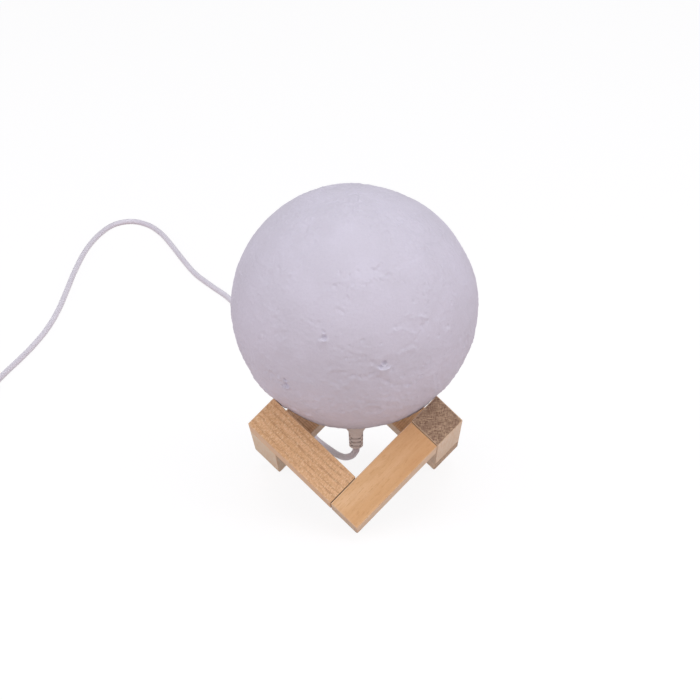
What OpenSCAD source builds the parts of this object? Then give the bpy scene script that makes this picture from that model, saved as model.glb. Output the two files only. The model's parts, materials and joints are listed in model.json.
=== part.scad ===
// Moon lamp on a ring stand of six wooden sticks, in millimetres.
// The origin is on the table, straight under the middle of the ball, and +Z is up.
// The viewer of the photographed side stands at -Y.

/* [Moon] */
// Outside diameter of the printed ball
moon_d = 150; // [130:1:165]
// Wall of the printed ball
shell_t = 2; // [1.4:0.1:3]
// Diameter of the round hole in the underside of the ball
hole_d = 38; // [36:0.5:42]
// Wall of the neck printed round that hole
neck_t = 4; // [3.6:0.1:6]
// Thickness of the ledge in the neck that the base unit bears on
ledge_t = 4; // [3.8:0.1:6]
// Depth of the craters pressed into the ball
crater_depth = 1; // [0.9:0.05:1.3]

/* [Stand] */
// Width and depth of the square sticks
stick_w = 22; // [18:0.5:24]
// Length of each stick
stick_l = 70; // [64:0.5:76]
// Eased arris of the sticks
stick_edge = 0.4; // [0.2:0.1:0.8]
// Height of the corner cut away where a stick stands on the table
tip_cut = 1; // [0.8:0.1:1.6]
// Open joint left between a stick's end and the side it meets
joint_gap = 0.4; // [0.2:0.1:0.8]
// Diameter of the dowels in the joints
dowel_d = 8; // [6:0.5:10]
// Length of the dowels
dowel_l = 28; // [22:1:32]

/* [Base unit] */
// Thickness of the round base cover
cover_t = 2.4; // [2:0.1:3]
// Thickness of the base housing's flange
flange_t = 6.2; // [5:0.1:8]
// Outside diameter of the base housing's tower
tower_d = 26.6; // [26:0.1:27.4]
// Wall of the tower
tower_t = 1.4; // [1.2:0.1:1.8]
// Height of the tower's top above the rim of the hole
tower_h = 50; // [46:0.5:56]
// Thickness of the plate that closes the tower
roof_t = 1.6; // [1.2:0.1:2.4]
// Distance of the cover's screws from the middle
screw_r = 16.2; // [16:0.05:16.4]
// Thread diameter of the cover's screws
screw_d = 1.9; // [1.6:0.1:2.1]
// Length of the cover's screws
screw_l = 11.6; // [10.6:0.1:11.8]
// Thickness of the circuit boards
board_t = 1.2; // [1:0.1:1.6]
// Width of the battery
battery_w = 17; // [15:0.5:18]
// Depth of the battery
battery_deep = 7; // [5:0.5:8]
// Height of the battery
battery_h = 25; // [20:0.5:26]
// Number of light chips round the light board
led_count = 6; // [4:1:8]
// Height of the diffuser's straight wall
diffuser_wall_h = 6; // [4:0.5:10]

/* [Power button] */
// Diameter of the button
button_d = 4; // [3.4:0.1:4.4]
// Distance of the button and the indicator from the circuit board's edge
button_inset = 2.7; // [2.5:0.05:2.9]
// How far the button stands out of the cover
button_proud = 0.9; // [0.7:0.1:1.4]
// Travel of the button
button_travel = 0.6; // [0.4:0.05:0.7]

/* [Plug] */
// Outside diameter of the plug's barrel
barrel_d = 5.5; // [5:0.05:6]
// Length of the barrel that enters the socket
barrel_l = 9.2; // [8:0.1:9.6]
// Diameter of the socket's centre pin
pin_d = 2; // [1.6:0.05:2.2]
// Depth of the socket
socket_l = 10; // [9.8:0.1:10.6]
// Diameter of the plug's moulded body
plug_d = 12; // [10:0.1:12.4]
// Height of the plug's moulded body
plug_h = 10.4; // [8:0.1:12]
// Height of the shoulder between the body and the strain relief
shoulder_h = 2.1; // [1:0.1:3]
// Diameter of the strain relief at its top
relief_d = 9.2; // [8:0.1:9.6]
// Diameter of the strain relief at its end
relief_end_d = 8.6; // [8:0.1:9.2]
// Length of the strain relief
relief_l = 10.8; // [10:0.1:14]
// Height of one slot in the strain relief
slot_h = 1.1; // [0.8:0.05:1.2]
// Height from one slot to the next one on the same side
slot_step = 2.55; // [2.4:0.05:3]
// Height of the lowest slot above the strain relief's end
slot_first = 1.75; // [1.5:0.05:2]

/* [Cord] */
// Diameter of the cord
cord_d = 4.2; // [3.6:0.1:4.4]
// Turns of the put-away coil
coil_turns = 3.5; // [2.5:1:4.5]
// Radius of the coil's outer turn at its middle
coil_r = 27; // [26:0.5:30]
// Sideways and upward step from one turn of the coil to the next
coil_step = 4.9; // [4.9:0.05:5.2]
// Thickness of the strap round the coil
tie_t = 0.7; // [0.5:0.1:0.9]
// Width of the strap round the coil
tie_w = 8; // [6:0.5:12]

/* [USB plug] */
// Length of the USB plug's grip
usb_grip_l = 20; // [16:0.5:26]
// Width of the USB plug's grip
usb_grip_w = 15.6; // [14:0.1:17]
// Height of the USB plug's grip
usb_grip_h = 7.8; // [7:0.1:9]
// Width of the metal shell
usb_shell_w = 12; // [11.8:0.1:12.2]
// Height of the metal shell
usb_shell_h = 4.5; // [4.4:0.1:4.7]
// Length of the metal shell
usb_shell_l = 12; // [11:0.5:14]

/* [Clearances] */
// Gap between the ball and the stick corners that carry it
seat_gap = 0.3; // [0.1:0.05:0.4]
// Gap all round pieces that are fitted once and stay put
fit_gap = 0.05; // [0.03:0.01:0.08]
// Gap all round the base unit in the neck
base_gap = 0.2; // [0.1:0.05:0.3]
// Gap all round pieces that turn or slide in each other
run_gap = 0.05; // [0.03:0.01:0.08]
// Gap between the plug's body and the base cover
plug_gap = 0.3; // [0.1:0.05:0.5]
// Gap between a round board and the wall round it
board_gap = 0.2; // [0.1:0.05:0.3]
// Room past the tips of the screws
tip_room = 0.3; // [0.1:0.05:0.5]

/* [Hidden] */
$fn = 64;

// Colours as photographed, and plain ones for what is hidden
moon_colour = [0.83, 0.81, 0.87];
wood_colour = [0.81, 0.66, 0.50];
wood_dark = [0.66, 0.52, 0.40];
cord_colour = [0.80, 0.77, 0.80];

// The stand is a closed zigzag of six sticks that run along the edges of a cube. The cube stands on
// one corner, so its diagonal is upright, and the six edges are those that miss the top and bottom.
cube_s = stick_l + stick_w;
half_s = cube_s / 2;
inner_s = half_s - stick_w;
centre_s = half_s - stick_w / 2;
ring_tilt = acos(1 / sqrt(3));
ring_lift = half_s / sqrt(3) + stick_w / sqrt(3) - tip_cut;
dowel_room = 0.5;
turn_third = 120;

// Seat of the ball: its middle is as far from each bearing corner as its radius and the seat gap.
moon_r = moon_d / 2;
seat_r = moon_r + seat_gap;
seat_edge = half_s - stick_edge;
seat_b = 4 * seat_edge - 2 * inner_s;
seat_c = inner_s * inner_s + 2 * seat_edge * seat_edge - seat_r * seat_r;
seat_corner = (seat_b + sqrt(max(0, seat_b * seat_b - 12 * seat_c))) / 6;
seat_flat = seat_r - inner_s;
seat_u = seat_flat < seat_edge ? seat_flat : seat_corner;
moon_z = sqrt(3) * seat_u + ring_lift;

// Heights of the base unit, from the rim of the hole upwards
hole_r = hole_d / 2;
rim_z = moon_z - sqrt(moon_r * moon_r - hole_r * hole_r);
cover_top = rim_z + cover_t;
ledge_z = cover_top + flange_t;
ledge_top = ledge_z + ledge_t;
base_d = hole_d - 2 * base_gap;
tower_bore = tower_d - 2 * tower_t;
ledge_d = tower_d + 2 * base_gap;
socket_top = rim_z + socket_l;
socket_d = 10;
socket_roof = 3.4;
snout_d = 7;
board_z = socket_top + socket_roof;
board_top = board_z + board_t;
board_step = 0.8;
tower_top = rim_z + tower_h;
roof_z = tower_top - roof_t;
pad_t = 1.2;
battery_top = roof_z - pad_t;
battery_z = battery_top - battery_h;
board_d = tower_bore - 2 * board_gap;
board_r = board_d / 2;
screw_head_d = 3.8;
screw_head_h = 1;
screw_hole_d = screw_d + 0.3;
screw_sink = 0.05;
screw_start = 30;
driver_w = 2.2;
driver_t = 0.5;
diffuser_t = 1.1;
led_board_d = tower_d - 2 * diffuser_t - 2 * board_gap;
chip_h = 0.8;
chip_inset = 2.9;
wire_d = 1.1;
wire_inset = 3.6;
light_wire_y = led_board_d / 2 - wire_inset;
light_wire_x = 2;
light_screw_x = 6.5;
light_screw_d = 1.6;
light_screw_head_d = 2.6;
light_screw_head_h = 0.9;
light_screw_entry = 1.1;

// Chips on the circuit board: place as shares of the board's radius, then width, depth and height
board_chips = [
  [-0.51, -0.34, 5, 4, 1.5],
  [0.53, 0.44, 3, 4, 2],
  [-0.6, 0.21, 3, 3, 1.2]
];
inductor_place = [0.21, -0.43];
inductor_d = 5;
inductor_h = 2.6;

// Foam pads over and under the battery; the lower one is notched over the parts in front of it
pad_side_inset = 4;
pad_edge_inset = 0.5;
pad_notch_y = 1.4;
pad_notch_room = 0.2;
battery_wire_inset = 2.4;

// Button parts
button_r = board_r - button_inset;
button_flange_d = button_d + 1.2;
button_flange_h = 0.8;
button_root = 0.4;
button_stem_d = 2.2;
switch_w = 4.5;
switch_h = 3.2;
switch_bore_d = 2.7;
stem_entry = 0.3;
stem_room = 0.3;
pipe_d = 2.4;

// Plug heights, downwards from the base cover
plug_top = rim_z - plug_gap;
shoulder_z = plug_top - plug_h;
relief_top = shoulder_z - shoulder_h;
relief_end = relief_top - relief_l;
barrel_root = 4;
barrel_bore = 8.5;
insulator_d = 3.6;
insulator_floor = 0.4;
slot_core_d = 6;
slot_w = 6.2;
relief_edge = 0.8;

// Route of the cord, from the plug over the table to the coil. The first points leave the plug
// straight down, the rest lie where the photographed cord lies, and the last ones lead to the coil.
cord_points = [
  [-0.6, 1.8, 26], [-2.5, 7, 21], [-5, 15, 16], [-8, 25, 11], [-12, 37, 6.8], [-16, 49, 3.8],
  [-21, 60, 2.4], [-27, 72, 2.1], [-36, 98, 2.1], [-46, 135, 2.1], [-57, 180, 2.1], [-68, 225, 2.1],
  [-80, 275, 2.1], [-94, 316, 2.1], [-109, 343, 2.1], [-123, 369, 2.1], [-134, 398, 2.1],
  [-145, 430, 2.1], [-156, 459, 2.1], [-168, 479, 2.1], [-182, 488, 2.1], [-196, 481, 2.1],
  [-206, 458, 2.1], [-213, 425, 2.1], [-217, 382, 2.1], [-219, 342, 2.1], [-221, 304, 2.1],
  [-225, 268, 2.1], [-231, 238, 2.1], [-238, 212, 2.1], [-246, 186, 2.1], [-253, 160, 2.2],
  [-258, 136, 2.5]
];
cord_start = [[0, 0, relief_end - 1], [0, 0, relief_end - 2.2]];
run_sides = 8;
run_steps = 2;

// The coil: turns that spiral in on the table, climb, and spiral out again on top of each other
coil_x = -288;
coil_y = 100;
coil_rest_gap = 0.1;
tie_room = 0.4;
coil_z = tie_t + coil_rest_gap + cord_d / 2;
coil_sides = 6;
coil_rings = 24;
coil_angle = coil_turns * 360;
coil_mid = coil_angle / 2;
climb_from = coil_mid - 90;

// The tail from the coil to the USB plug, which lies flat on the table beside the coil
usb_x = coil_x - coil_r - 3;
usb_y = coil_y + 42;
usb_z = usb_grip_h / 2;
usb_neck_l = 8;
usb_neck_d = 6.6;
usb_neck_end_d = cord_d + 1;
usb_wall = 0.35;
tongue_h = 1.8;
tongue_short = 1.5;
usb_edge = 2;
usb_shell_z = usb_neck_l + usb_grip_l;
contact_x = [-3.5, -1, 1, 3.5];
contact_w = 1.2;
contact_t = 0.25;
contact_inset = 1;

// Craters of the ball: longitude from +X, latitude, and radius
craters = [
  [-104, -12, 6], [-66, -19, 7], [-128, -24, 5], [-60, 8, 9], [-96, 22, 11], [-140, 14, 8],
  [-30, 30, 7], [-18, -8, 8], [20, 12, 10], [48, -16, 7], [75, 28, 12], [110, 4, 8],
  [140, 34, 9], [165, -10, 11], [-165, 40, 7], [-75, 55, 10], [30, 58, 8], [150, 66, 7],
  [95, -18, 6], [-45, 44, 5], [-112, 48, 6], [5, -22, 5], [125, -24, 6], [60, 2, 5]
];

// ---------- helpers ----------
function unit(v) = v / norm(v);
function catmull(a, b, c, d, t) =
  0.5 * ((2 * b) + (c - a) * t + (2 * a - 5 * b + 4 * c - d) * t * t
  + (3 * b - a - 3 * c + d) * t * t * t);
// Smooth line through a list of points, with a number of steps from each point to the next
function smooth(p, steps) = [
  for (i = [0 : len(p) - 2], k = [0 : steps - 1])
    catmull(p[max(i - 1, 0)], p[i], p[i + 1], p[min(i + 2, len(p) - 1)], k / steps),
  p[len(p) - 1]
];
function tangents(p) = [
  for (i = [0 : len(p) - 1]) unit(p[min(i + 1, len(p) - 1)] - p[max(i - 1, 0)])
];
// One side direction per point, carried along the line without twist
function sides_along(t, first) = [
  for (i = 0, n = unit(first - (first * t[0]) * t[0]);
       i < len(t);
       i = i + 1, n = i < len(t) ? unit(n - (n * t[i]) * t[i]) : n) n
];

// Round tube along a list of points, as one closed solid
module tube(p, d, sides, first) {
  t = tangents(p);
  n = sides_along(t, first);
  rings = len(p);
  points = [
    for (i = [0 : rings - 1], k = [0 : sides - 1])
      p[i] + d / 2 * (cos(k * 360 / sides) * n[i] + sin(k * 360 / sides) * cross(t[i], n[i]))
  ];
  walls = [
    for (i = [0 : rings - 2], k = [0 : sides - 1])
      let (a = i * sides + k, b = i * sides + (k + 1) % sides)
        each [[a, b + sides, b], [a, a + sides, b + sides]]
  ];
  caps = [
    [for (k = [0 : sides - 1]) k],
    [for (k = [0 : sides - 1]) rings * sides - 1 - k]
  ];
  polyhedron(points, concat(walls, caps));
}

// Rectangle from the origin's middle line, with its corners cut at 45 degrees
module cut_rectangle(x0, x1, y0, y1, e) {
  polygon([
    [x0 + e, y0], [x1 - e, y0], [x1, y0 + e], [x1, y1 - e],
    [x1 - e, y1], [x0 + e, y1], [x0, y1 - e], [x0, y0 + e]
  ]);
}

// Square bar along +X with all twelve edges eased
module eased_bar(length, wide, e) {
  w2 = wide / 2;
  intersection() {
    rotate([90, 0, 90]) linear_extrude(length) cut_rectangle(-w2, w2, -w2, w2, e);
    translate([0, 0, -w2]) linear_extrude(wide) cut_rectangle(0, length, -w2, w2, e);
    translate([0, w2, 0]) rotate([90, 0, 0]) linear_extrude(wide)
      cut_rectangle(0, length, -w2, w2, e);
  }
}

// Slab with round corners, centred in X and Y, standing on z = 0
module round_slab(x, y, h, r) {
  linear_extrude(h) {
    square([x - 2 * r, y], center = true);
    square([x, y - 2 * r], center = true);
    for (i = [-1, 1], k = [-1, 1]) translate([i * (x / 2 - r), k * (y / 2 - r)]) circle(r);
  }
}

// ---------- stand ----------
module cube_to_world(k) {
  rotate([0, 0, k * turn_third]) translate([0, 0, ring_lift]) rotate([ring_tilt, 0, 0])
    rotate([0, 0, 45]) children();
}

// An upper stick starts at a high corner and runs down to the side of a foot stick.
module upper_place(k) {
  cube_to_world(k) translate([-centre_s, half_s, centre_s]) rotate([0, 0, -90]) children();
}

// A foot stick starts at the table and runs up to the side of an upper stick.
module foot_place(k) {
  cube_to_world(k) translate([centre_s, -half_s, -centre_s]) rotate(a = 180, v = [1, 1, 0])
    children();
}

module stick() {
  bore_d = dowel_d + 2 * fit_gap;
  bore_l = dowel_l / 2 + dowel_room;
  difference() {
    eased_bar(stick_l - joint_gap, stick_w, stick_edge);
    translate([stick_l - bore_l, 0, 0]) rotate([0, 90, 0]) cylinder(d = bore_d, h = bore_l + 1);
    translate([stick_w / 2, 0, -stick_w / 2 - 1]) cylinder(d = bore_d, h = bore_l + 1);
  }
}

module dowel() {
  translate([stick_l - dowel_l / 2, 0, 0]) rotate([0, 90, 0]) cylinder(d = dowel_d, h = dowel_l);
}

module upper_stick(k) {
  color(k == 1 ? wood_dark : wood_colour) upper_place(k) stick();
}

module foot_stick(k) {
  color(wood_colour) difference() {
    foot_place(k) stick();
    translate([0, 0, -2 * stick_w]) cylinder(r = cube_s, h = 2 * stick_w);
  }
}

module upper_stick_left() { upper_stick(0); }
module upper_stick_right() { upper_stick(1); }
module upper_stick_back() { upper_stick(2); }
module foot_stick_right() { foot_stick(0); }
module foot_stick_left() { foot_stick(1); }
module foot_stick_front() { foot_stick(2); }

module stand_dowels() {
  color("burlywood") for (k = [0 : 2]) {
    upper_place(k) dowel();
    foot_place(k) dowel();
  }
}

// ---------- ball ----------
// Shallow round dish in the surface of the ball
module crater(c) {
  rim_h = sqrt(moon_r * moon_r - c[2] * c[2]);
  sagitta = rim_h - (moon_r - crater_depth);
  dish_r = (c[2] * c[2] + sagitta * sagitta) / (2 * sagitta);
  rotate([0, -c[1], c[0]]) translate([moon_r - crater_depth + dish_r, 0, 0]) sphere(dish_r);
}

module cover_screw_places(z) {
  for (k = [0 : 2])
    rotate([0, 0, screw_start + k * turn_third]) translate([screw_r, 0, z]) children();
}

module moon_shell() {
  color(moon_colour) difference() {
    translate([0, 0, moon_z]) sphere(moon_r, $fn = 128);
    difference() {
      translate([0, 0, moon_z]) sphere(moon_r - shell_t, $fn = 128);
      translate([0, 0, rim_z - neck_t]) cylinder(r = hole_r + neck_t, h = ledge_top - rim_z + neck_t);
    }
    translate([0, 0, moon_z - moon_d]) cylinder(r = hole_r, h = ledge_z - moon_z + moon_d);
    translate([0, 0, rim_z]) cylinder(d = ledge_d, h = ledge_top - rim_z + 1);
    cover_screw_places(rim_z)
      cylinder(d = screw_d + 2 * fit_gap, h = screw_sink + screw_l + tip_room);
    for (c = craters) translate([0, 0, moon_z]) crater(c);
  }
}

// ---------- base unit ----------
module base_housing() {
  color("white") difference() {
    union() {
      translate([0, 0, cover_top]) cylinder(d = base_d, h = flange_t);
      translate([0, 0, cover_top]) cylinder(d = tower_d, h = tower_top - cover_top);
    }
    translate([0, 0, cover_top - 1]) cylinder(d = tower_bore, h = board_top - cover_top + 1);
    translate([0, 0, cover_top]) cylinder(d = tower_bore - 2 * board_step, h = roof_z - cover_top);
    cover_screw_places(cover_top - 1) cylinder(d = screw_hole_d, h = flange_t + 2);
    translate([0, light_wire_y, roof_z - 1])
      cylinder(d = 2 * light_wire_x + 2 * wire_d, h = roof_t + 2);
    for (s = [-1, 1]) translate([s * light_screw_x, 0, tower_top - light_screw_entry - 0.1])
      cylinder(d = light_screw_d + 2 * fit_gap, h = light_screw_entry + 1);
  }
}

module base_cover() {
  color("whitesmoke") difference() {
    translate([0, 0, rim_z]) cylinder(d = base_d, h = cover_t);
    translate([0, 0, rim_z - 1]) cylinder(d = snout_d + 2 * fit_gap, h = cover_t + 2);
    translate([0, -button_r, rim_z - 1]) cylinder(d = button_d + 2 * run_gap, h = cover_t + 2);
    translate([0, button_r, rim_z - 1]) cylinder(d = pipe_d + 2 * fit_gap, h = cover_t + 2);
    cover_screw_places(rim_z - 1) cylinder(d = screw_hole_d, h = cover_t + 2);
    cover_screw_places(rim_z - 0.01)
      cylinder(d1 = screw_head_d + 0.2, d2 = screw_hole_d, h = screw_head_h + 0.1);
  }
}

module cover_screws() {
  color("silver") cover_screw_places(rim_z + screw_sink) difference() {
    union() {
      cylinder(d1 = screw_head_d, d2 = screw_d, h = screw_head_h);
      cylinder(d = screw_d, h = screw_l);
    }
    for (a = [0, 90]) rotate([0, 0, a]) cube([driver_w, driver_t, screw_head_h], center = true);
  }
}

module socket_body() {
  color("dimgray") difference() {
    union() {
      translate([0, 0, rim_z]) cylinder(d = snout_d, h = cover_t + 1);
      translate([0, 0, cover_top]) round_slab(socket_d, socket_d, board_z - cover_top, 1);
    }
    translate([0, 0, rim_z - 1]) cylinder(d = barrel_d + 2 * run_gap, h = socket_l + 1);
    translate([0, 0, rim_z]) cylinder(d = pin_d + 2 * fit_gap, h = board_z - rim_z + 1);
  }
}

module socket_pin() {
  color("gold") translate([0, 0, rim_z + 2]) cylinder(d = pin_d, h = board_z - rim_z - 2);
}

module circuit_board() {
  color("seagreen") translate([0, 0, board_z]) cylinder(d = board_d, h = board_t);
}

module board_parts() {
  color("black") translate([0, 0, board_top]) {
    for (c = board_chips)
      translate([c[0] * board_r, c[1] * board_r, 0]) round_slab(c[2], c[3], c[4], 0.3);
    translate([inductor_place[0] * board_r, inductor_place[1] * board_r, 0])
      cylinder(d = inductor_d, h = inductor_h);
  }
}

module button_switch() {
  color("gray") translate([0, -button_r, board_z - switch_h]) difference() {
    translate([-switch_w / 2, -switch_w / 2, 0]) cube([switch_w, switch_w, switch_h]);
    translate([0, 0, -1])
      cylinder(d = switch_bore_d, h = 1 + stem_entry + button_travel + stem_room);
  }
}

module power_button() {
  stem_top = board_z - switch_h + stem_entry;
  color("lightgray") translate([0, -button_r, 0]) {
    translate([0, 0, rim_z - button_proud])
      cylinder(d = button_d, h = cover_t + button_proud + button_root);
    translate([0, 0, cover_top + run_gap]) cylinder(d = button_flange_d, h = button_flange_h);
    translate([0, 0, cover_top]) cylinder(d = button_stem_d, h = stem_top - cover_top);
  }
}

module indicator_pipe() {
  color("lightcyan") translate([0, button_r, rim_z]) cylinder(d = pipe_d, h = board_z - rim_z);
}

module battery() {
  color("lightsteelblue") translate([0, 0, battery_z])
    round_slab(battery_w, battery_deep, battery_h, 2);
}

module battery_pads() {
  pad_w = battery_w - 2 * pad_side_inset;
  pad_deep = battery_deep - 2 * pad_edge_inset;
  color("darkgray") {
    translate([0, 0, battery_top]) round_slab(pad_w, pad_deep, pad_t, 1);
    translate([0, 0, board_top]) difference() {
      round_slab(pad_w, pad_deep, battery_z - board_top, 1);
      translate([-pad_w, -pad_deep - pad_notch_y, -1])
        cube([2 * pad_w, pad_deep, inductor_h + pad_notch_room + 1]);
    }
  }
}

module light_board() {
  color("white") difference() {
    translate([0, 0, tower_top]) cylinder(d = led_board_d, h = board_t);
    for (s = [-1, 1]) translate([s * light_screw_x, 0, tower_top - 1])
      cylinder(d = light_screw_d + 2 * fit_gap, h = board_t + 2);
  }
}

module light_chips() {
  ring_r = led_board_d / 2 - chip_inset;
  color("lightyellow") translate([0, 0, tower_top + board_t]) {
    round_slab(3.5, 2.8, chip_h, 0.3);
    for (k = [0 : led_count - 1]) rotate([0, 0, (k + 0.5) * 360 / led_count])
      translate([ring_r, 0, 0]) round_slab(2.8, 3.5, chip_h, 0.3);
  }
}

module light_screws() {
  color("silver") for (s = [-1, 1]) translate([s * light_screw_x, 0, 0]) {
    translate([0, 0, tower_top + board_t]) cylinder(d = light_screw_head_d, h = light_screw_head_h);
    translate([0, 0, tower_top - light_screw_entry])
      cylinder(d = light_screw_d, h = light_screw_entry + board_t + light_screw_head_h / 2);
  }
}

module light_diffuser() {
  out_r = tower_d / 2;
  color("mintcream") translate([0, 0, tower_top]) difference() {
    union() {
      cylinder(r = out_r, h = diffuser_wall_h);
      translate([0, 0, diffuser_wall_h]) sphere(out_r);
    }
    translate([0, 0, -1]) cylinder(r = out_r - diffuser_t, h = diffuser_wall_h + 1);
    translate([0, 0, diffuser_wall_h]) sphere(out_r - diffuser_t);
    translate([0, 0, -2 * out_r]) cylinder(r = 2 * out_r, h = 2 * out_r);
  }
}

module inner_wires() {
  color("firebrick") for (s = [-1, 1]) {
    translate([s * light_wire_x, light_wire_y, board_top])
      cylinder(d = wire_d, h = tower_top - board_top);
    translate([s * (battery_w / 2 - battery_wire_inset), 0, board_top])
      cylinder(d = wire_d, h = battery_z - board_top);
  }
}

// ---------- plug ----------
module plug_body() {
  color(cord_colour) difference() {
    union() {
      translate([0, 0, shoulder_z]) cylinder(d = plug_d, h = plug_h);
      translate([0, 0, relief_top]) cylinder(d1 = relief_d, d2 = plug_d, h = shoulder_h);
    }
    translate([0, 0, plug_top - barrel_root])
      cylinder(d = barrel_d + 2 * fit_gap, h = barrel_root + 1);
  }
}

// Half of the slots of one level lie at the front and back, and half at the sides.
module relief_slot(z, turn) {
  translate([0, 0, z]) rotate([0, 0, turn]) difference() {
    translate([-slot_w / 2, -relief_d, 0]) cube([slot_w, 2 * relief_d, slot_h]);
    translate([0, 0, -1]) cylinder(d = slot_core_d, h = slot_h + 2);
  }
}

module plug_relief() {
  color(cord_colour) difference() {
    union() {
      translate([0, 0, relief_end + relief_edge])
        cylinder(d1 = relief_end_d, d2 = relief_d, h = relief_l - relief_edge);
      translate([0, 0, relief_end])
        cylinder(d1 = relief_end_d - 2 * relief_edge, d2 = relief_end_d, h = relief_edge);
    }
    for (k = [0 : 2]) {
      relief_slot(relief_end + slot_first + k * slot_step, 0);
      relief_slot(relief_end + slot_first + (k + 0.5) * slot_step, 90);
    }
  }
}

module plug_barrel() {
  color("silver") translate([0, 0, plug_top - barrel_root]) difference() {
    cylinder(d = barrel_d, h = barrel_root + barrel_l);
    translate([0, 0, barrel_root + barrel_l - barrel_bore])
      cylinder(d = insulator_d + 2 * fit_gap, h = barrel_bore + 1);
  }
}

module plug_insulator() {
  color("black") translate([0, 0, plug_top + barrel_l - barrel_bore]) difference() {
    cylinder(d = insulator_d, h = barrel_bore);
    translate([0, 0, insulator_floor]) cylinder(d = pin_d + 2 * run_gap, h = barrel_bore);
  }
}

// ---------- cord ----------
// Middle of the coiled cord at an angle along the coil
function coil_radius(a) = coil_r - coil_step * min(a, coil_angle - a) / 360;
function coil_height(a) = coil_z + coil_step * min(1, max(0, (a - climb_from) / 180));
function coil_point(a) = [
  coil_x + coil_radius(a) * cos(-a),
  coil_y + coil_radius(a) * sin(-a),
  coil_height(a)
];
coil_count = coil_turns * coil_rings;
coil_turned = [for (i = [0 : coil_count]) coil_point(i * coil_angle / coil_count)];
coil_first = unit(coil_point(0) - coil_point(1));
coil_last = unit(coil_point(coil_angle) - coil_point(coil_angle - 1));
coil_path = concat(
  [coil_turned[0] + cord_d * coil_first, coil_turned[0] + cord_d / 2 * coil_first],
  coil_turned,
  [coil_turned[coil_count] + cord_d / 2 * coil_last, coil_turned[coil_count] + cord_d * coil_last]
);
coil_gap = min([
  for (i = [0 : len(coil_turned) - 1], k = [i + coil_rings / 2 : 1 : len(coil_turned) - 1])
    norm(coil_turned[i] - coil_turned[k])
]) - cord_d;
echo(coil_least_gap = coil_gap);

run_end = coil_path[0];
run_path = concat(
  [[0, 0, relief_end - fit_gap]],
  smooth(concat(cord_start, cord_points, [run_end + 3 * cord_d * coil_first]), run_steps),
  [run_end + cord_d * coil_first, run_end]
);
tail_start = coil_path[len(coil_path) - 1];
tail_end = [usb_x, usb_y, usb_z];
tail_path = concat(
  [tail_start],
  smooth([
    tail_start + 3 * coil_last,
    [tail_start[0] - 0.4, tail_start[1] + 10, tail_start[2] - 1.6],
    [usb_x + 0.8, tail_start[1] + 18, usb_z + 1],
    [usb_x, tail_start[1] + 25, usb_z],
    [usb_x, usb_y - 2, usb_z]
  ], run_steps),
  [tail_end]
);

module cord_run() { color(cord_colour) tube(run_path, cord_d, run_sides, [1, 0, 0]); }
module cord_coil() { color(cord_colour) tube(coil_path, cord_d, coil_sides, [0, 0, 1]); }
module cord_tail() { color(cord_colour) tube(tail_path, cord_d, run_sides, [0, 0, 1]); }

// Flat strap that goes once round all turns, on the side of the coil towards -Y
module cord_tie() {
  low_r = coil_radius(coil_mid) - cord_d / 2 - tie_room;
  high_r = coil_r + cord_d / 2 + tie_room;
  inside_h = coil_height(coil_angle) + cord_d / 2 + coil_rest_gap - tie_t;
  color("dimgray") translate([coil_x + tie_w / 2, coil_y, 0]) rotate([90, 0, -90])
    linear_extrude(tie_w) difference() {
      translate([low_r - tie_t, 0]) square([high_r - low_r + 2 * tie_t, inside_h + 2 * tie_t]);
      translate([low_r, tie_t]) square([high_r - low_r, inside_h]);
    }
}

// ---------- USB plug ----------
module usb_place() { translate([usb_x, usb_y, usb_z]) rotate([-90, 0, 0]) children(); }

module usb_grip() {
  color(cord_colour) usb_place() {
    cylinder(d1 = usb_neck_end_d, d2 = usb_neck_d, h = usb_neck_l);
    translate([0, 0, usb_neck_l]) round_slab(usb_grip_w, usb_grip_h, usb_grip_l, usb_edge);
  }
}

module usb_shell() {
  color("silver") usb_place() translate([0, 0, usb_shell_z]) linear_extrude(usb_shell_l)
    difference() {
      square([usb_shell_w, usb_shell_h], center = true);
      square([usb_shell_w - 2 * usb_wall, usb_shell_h - 2 * usb_wall], center = true);
    }
}

module usb_tongue() {
  tongue_w = usb_shell_w - 2 * usb_wall - 2 * fit_gap;
  tongue_y = -usb_shell_h / 2 + usb_wall + fit_gap;
  color("white") usb_place() translate([-tongue_w / 2, tongue_y, usb_shell_z])
    cube([tongue_w, tongue_h, usb_shell_l - tongue_short]);
}

module usb_contacts() {
  contact_y = -usb_shell_h / 2 + usb_wall + fit_gap + tongue_h;
  contact_l = usb_shell_l - tongue_short - 2 * contact_inset;
  color("gold") usb_place() for (x = contact_x)
    translate([x - contact_w / 2, contact_y, usb_shell_z + contact_inset])
      cube([contact_w, contact_t, contact_l]);
}

moon_shell();
base_housing();
base_cover();
cover_screws();
socket_body();
socket_pin();
circuit_board();
board_parts();
button_switch();
indicator_pipe();
battery();
battery_pads();
light_board();
light_chips();
light_screws();
light_diffuser();
inner_wires();
power_button();
plug_body();
plug_relief();
plug_barrel();
plug_insulator();
upper_stick_left();
upper_stick_right();
upper_stick_back();
foot_stick_front();
foot_stick_left();
foot_stick_right();
stand_dowels();
cord_run();
cord_coil();
cord_tail();
cord_tie();
usb_grip();
usb_shell();
usb_tongue();
usb_contacts();
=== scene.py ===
"""Looks of the moon lamp: the photograph's camera, the cord, the ball's relief and every material."""
import json
import math

import bpy
import numpy as np
from mathutils import Matrix, Vector


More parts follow.
